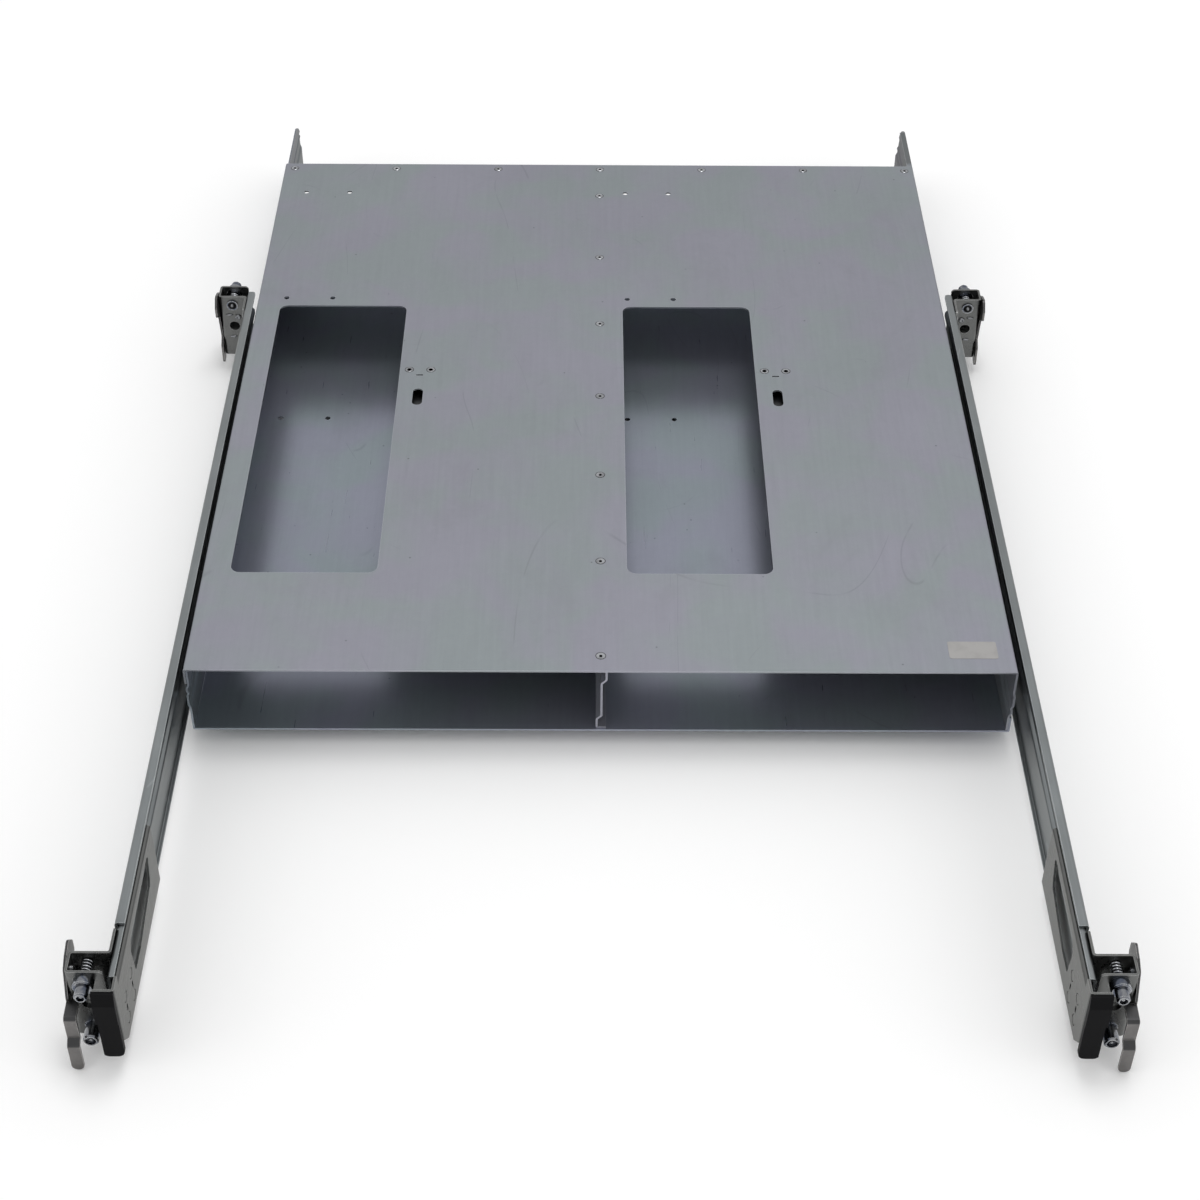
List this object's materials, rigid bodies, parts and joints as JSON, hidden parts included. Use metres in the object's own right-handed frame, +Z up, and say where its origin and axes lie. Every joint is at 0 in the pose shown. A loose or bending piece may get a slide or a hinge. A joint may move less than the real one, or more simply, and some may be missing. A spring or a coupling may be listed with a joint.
{
  "type": "rack mounting rails",
  "caption": "Pair of telescoping rack rails with sprung stud brackets and latch levers, carrying a divided sheet-metal tray with two bays.",
  "frame": {"origin": "centre of the footprint at the height of the lowest latch tips", "axes": "+X across the rack to the right, +Y along the rails from the near posts to the far posts, +Z up"},
  "size_m": [0.4864, 0.7894, 0.0547],
  "materials": {
    "galvanised_sheet": "dull galvanised sheet with faint rolling grain",
    "rail_steel": "zinc-plated sheet, satin",
    "zinc_lever": "bright zinc plate",
    "bright_zinc": "bright turned steel",
    "spring_steel": "plated spring wire",
    "black_plastic": "moulded, matte",
    "label_stock": "blank paper label on the tray"
  },
  "bodies": {
    "rails": {"left_rail_body": "rail_steel", "left_rail_glides": "black_plastic", "left_far_stud_carrier": "rail_steel", "left_far_upper_stud": "bright_zinc", "left_far_lower_stud": "bright_zinc", "left_far_latch_pin": "bright_zinc", "left_far_carrier_rivets": "bright_zinc", "left_far_stud_spring": "spring_steel", "right_rail_body": "rail_steel", "right_rail_glides": "black_plastic", "right_far_stud_carrier": "rail_steel", "right_far_upper_stud": "bright_zinc", "right_far_lower_stud": "bright_zinc", "right_far_latch_pin": "bright_zinc", "right_far_carrier_rivets": "bright_zinc", "right_far_stud_spring": "spring_steel"},
    "tray": {"tray_base": "galvanised_sheet", "tray_cover": "galvanised_sheet", "center_divider": "galvanised_sheet", "rear_stiffener": "galvanised_sheet", "divider_rivets": "bright_zinc", "rear_rivets": "bright_zinc", "bay_latch_rivets": "bright_zinc", "bay_latch_brackets": "zinc_lever", "bay_latch_pins": "bright_zinc", "left_slide_member": "rail_steel", "left_slide_member_rivets": "bright_zinc", "right_slide_member": "rail_steel", "right_slide_member_rivets": "bright_zinc"},
    "left_extension": {"left_rail_extension": "rail_steel", "left_near_stud_carrier": "rail_steel", "left_near_upper_stud": "bright_zinc", "left_near_lower_stud": "bright_zinc", "left_near_latch_pin": "bright_zinc", "left_near_carrier_rivets": "bright_zinc", "left_near_bracket_plate": "rail_steel", "left_near_bracket_rivets": "bright_zinc", "left_near_bumper": "black_plastic", "left_near_stud_spring": "spring_steel"},
    "right_extension": {"right_rail_extension": "rail_steel", "right_near_stud_carrier": "rail_steel", "right_near_upper_stud": "bright_zinc", "right_near_lower_stud": "bright_zinc", "right_near_latch_pin": "bright_zinc", "right_near_carrier_rivets": "bright_zinc", "right_near_bracket_plate": "rail_steel", "right_near_bracket_rivets": "bright_zinc", "right_near_bumper": "black_plastic", "right_near_stud_spring": "spring_steel"},
    "left_near_collar": {"left_near_stud_collar": "bright_zinc"},
    "left_near_lever": {"left_near_latch_lever": "zinc_lever"},
    "left_far_collar": {"left_far_stud_collar": "bright_zinc"},
    "left_far_lever": {"left_far_latch_lever": "zinc_lever"},
    "right_near_collar": {"right_near_stud_collar": "bright_zinc"},
    "right_near_lever": {"right_near_latch_lever": "zinc_lever"},
    "right_far_collar": {"right_far_stud_collar": "bright_zinc"},
    "right_far_lever": {"right_far_latch_lever": "zinc_lever"},
    "left_bay_catch": {"left_bay_latch": "zinc_lever"},
    "right_bay_catch": {"right_bay_latch": "zinc_lever"}
  },
  "joints": [
    {"name": "tray_slide", "type": "slide", "parent": "rails", "child": "tray", "axis": [0, 1, 0], "range_m": [-0.195, 0.1]},
    {"name": "left_extension_slide", "type": "slide", "parent": "rails", "child": "left_extension", "axis": [0, -1, 0], "range_m": [0, 0.2]},
    {"name": "right_extension_slide", "type": "slide", "parent": "rails", "child": "right_extension", "axis": [0, -1, 0], "range_m": [0, 0.2]},
    {"name": "left_near_collar_press", "type": "slide", "parent": "left_extension", "child": "left_near_collar", "axis": [0, 1, 0], "range_m": [0, 0.0043], "stiffness_N_per_m": 700, "springref_m": -0.002, "deforming": ["left_near_stud_spring"]},
    {"name": "left_near_latch_turn", "type": "hinge", "parent": "left_extension", "child": "left_near_lever", "pos_m": [-0.2416, -0.3729, 0.0446], "axis": [-1, 0, 0], "range_deg": [0, 15], "stiffness_Nm_per_rad": 0.3, "springref_deg": -5.73},
    {"name": "left_far_collar_press", "type": "slide", "parent": "rails", "child": "left_far_collar", "axis": [0, -1, 0], "range_m": [0, 0.0043], "stiffness_N_per_m": 700, "springref_m": -0.002, "deforming": ["left_far_stud_spring"]},
    {"name": "left_far_latch_turn", "type": "hinge", "parent": "rails", "child": "left_far_lever", "pos_m": [-0.2416, 0.1646, 0.0446], "axis": [1, 0, 0], "range_deg": [0, 15], "stiffness_Nm_per_rad": 0.3, "springref_deg": -5.73},
    {"name": "right_near_collar_press", "type": "slide", "parent": "right_extension", "child": "right_near_collar", "axis": [0, 1, 0], "range_m": [0, 0.0043], "stiffness_N_per_m": 700, "springref_m": -0.002, "deforming": ["right_near_stud_spring"]},
    {"name": "right_near_latch_turn", "type": "hinge", "parent": "right_extension", "child": "right_near_lever", "pos_m": [0.2416, -0.3729, 0.0446], "axis": [-1, 0, 0], "range_deg": [0, 15], "stiffness_Nm_per_rad": 0.3, "springref_deg": -5.73},
    {"name": "right_far_collar_press", "type": "slide", "parent": "rails", "child": "right_far_collar", "axis": [0, -1, 0], "range_m": [0, 0.0043], "stiffness_N_per_m": 700, "springref_m": -0.002, "deforming": ["right_far_stud_spring"]},
    {"name": "right_far_latch_turn", "type": "hinge", "parent": "rails", "child": "right_far_lever", "pos_m": [0.2416, 0.1646, 0.0446], "axis": [1, 0, 0], "range_deg": [0, 15], "stiffness_Nm_per_rad": 0.3, "springref_deg": -5.73},
    {"name": "left_bay_latch_lift", "type": "hinge", "parent": "tray", "child": "left_bay_catch", "pos_m": [-0.109, 0.0822, 0.0472], "axis": [-1, 0, 0], "range_deg": [0, 5], "stiffness_Nm_per_rad": 0.2, "springref_deg": -2.86},
    {"name": "right_bay_latch_lift", "type": "hinge", "parent": "tray", "child": "right_bay_catch", "pos_m": [0.1055, 0.0822, 0.0472], "axis": [-1, 0, 0], "range_deg": [0, 5], "stiffness_Nm_per_rad": 0.2, "springref_deg": -2.86}
  ]
}
